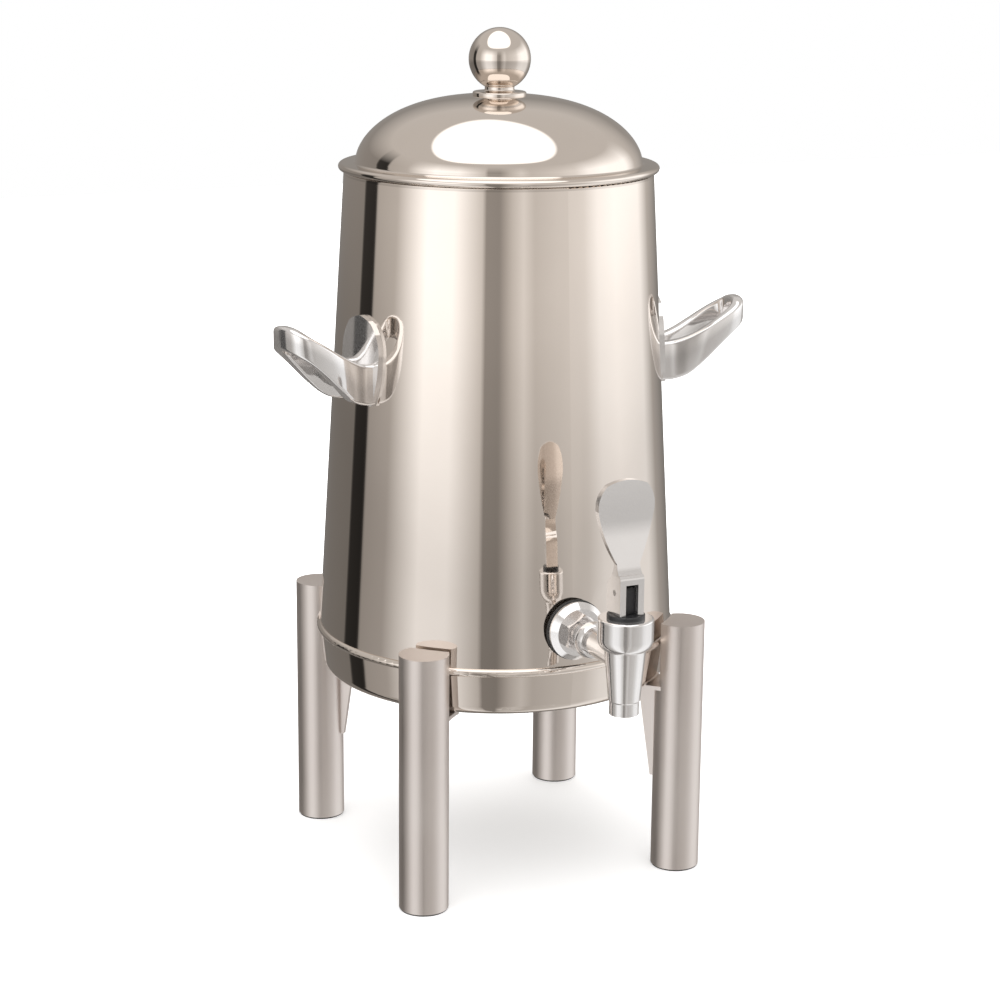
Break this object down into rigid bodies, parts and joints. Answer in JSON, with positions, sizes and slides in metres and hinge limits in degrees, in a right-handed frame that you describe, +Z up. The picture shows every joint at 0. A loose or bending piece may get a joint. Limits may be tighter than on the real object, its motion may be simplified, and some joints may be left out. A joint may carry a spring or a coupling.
{
  "type": "coffee urn",
  "caption": "Free-standing insulated coffee urn: tapered double-walled body on cylindrical legs, lift-off domed lid with ball finial, loop handles and a self-closing lever tap.",
  "frame": {"origin": "on the surface the urn stands on, under the middle of the whole object's box; the urn's own axis is 46.6 mm towards +Y because the tap reaches out towards -Y", "axes": "+Z up, the tap points towards -Y, +X to the right of someone facing the tap"},
  "size_m": [0.3624, 0.3612, 0.6131],
  "materials": {
    "polished_steel": "mirror-polished stainless steel, slightly warm",
    "inner_steel": "satin stainless steel",
    "leg_steel": "polished stainless tube with a soft drawn grain",
    "cast_chrome": "bright chrome plate on a casting",
    "plain_steel": "plain stainless steel",
    "black_plastic": "black moulded plastic, semi-matt",
    "black_rubber": "black rubber",
    "clear_silicone": "translucent white silicone"
  },
  "bodies": {
    "urn": {"outer_shell": "polished_steel", "mouth_ring": "polished_steel", "base_ring": "polished_steel", "inner_vessel": "inner_steel", "outer_bottom": "inner_steel", "base_plate": "inner_steel", "outlet_sleeve": "inner_steel", "leg_tube_front_right": "leg_steel", "leg_tube_front_left": "leg_steel", "leg_tube_back_right": "leg_steel", "leg_tube_back_left": "leg_steel", "leg_cap_front_right": "leg_steel", "leg_cap_front_left": "leg_steel", "leg_cap_back_right": "leg_steel", "leg_cap_back_left": "leg_steel", "leg_bracket_front_right": "leg_steel", "leg_bracket_front_left": "leg_steel", "leg_bracket_back_right": "leg_steel", "leg_bracket_back_left": "leg_steel", "handle_plate_right": "cast_chrome", "handle_loop_right": "cast_chrome", "handle_plate_left": "cast_chrome", "handle_loop_left": "cast_chrome", "tap_body": "cast_chrome", "collar_nut": "cast_chrome", "lock_nut": "cast_chrome", "coupling_nut": "cast_chrome", "tap_shank": "cast_chrome", "bracket_screws": "plain_steel", "inner_nut": "plain_steel", "stem_spring": "plain_steel", "tap_bonnet": "black_plastic", "outlet_gasket": "black_rubber", "foot_glide_front_right": "black_rubber", "foot_glide_front_left": "black_rubber", "foot_glide_back_right": "black_rubber", "foot_glide_back_left": "black_rubber", "inner_washer": "clear_silicone"},
    "lid": {"lid_dome": "polished_steel", "lid_liner": "inner_steel", "lid_gasket": "clear_silicone", "finial_base": "polished_steel", "finial_ball": "polished_steel", "finial_screw": "plain_steel"},
    "stem": {"tap_stem": "black_plastic", "seat_cup": "clear_silicone", "lever_pin": "plain_steel"},
    "lever": {"tap_lever": "cast_chrome"}
  },
  "joints": [
    {"name": "lid_lift", "type": "slide", "parent": "urn", "child": "lid", "axis": [0, 0, 1], "range_m": [0, 0.12]},
    {"name": "stem_lift", "type": "slide", "parent": "urn", "child": "stem", "axis": [0, 0, 1], "range_m": [0, 0.0034], "deforming": ["stem_spring"]},
    {"name": "lever_tilt", "type": "hinge", "parent": "stem", "child": "lever", "pos_m": [0, -0.1614, 0.252], "axis": [1, 0, 0], "range_deg": [0, 22], "stiffness_Nm_per_rad": 0.5, "springref_deg": -17.19}
  ],
  "couplings": [
    {"joint": "stem_lift", "follows": "lever_tilt", "m_per_rad": 0.0084}
  ]
}
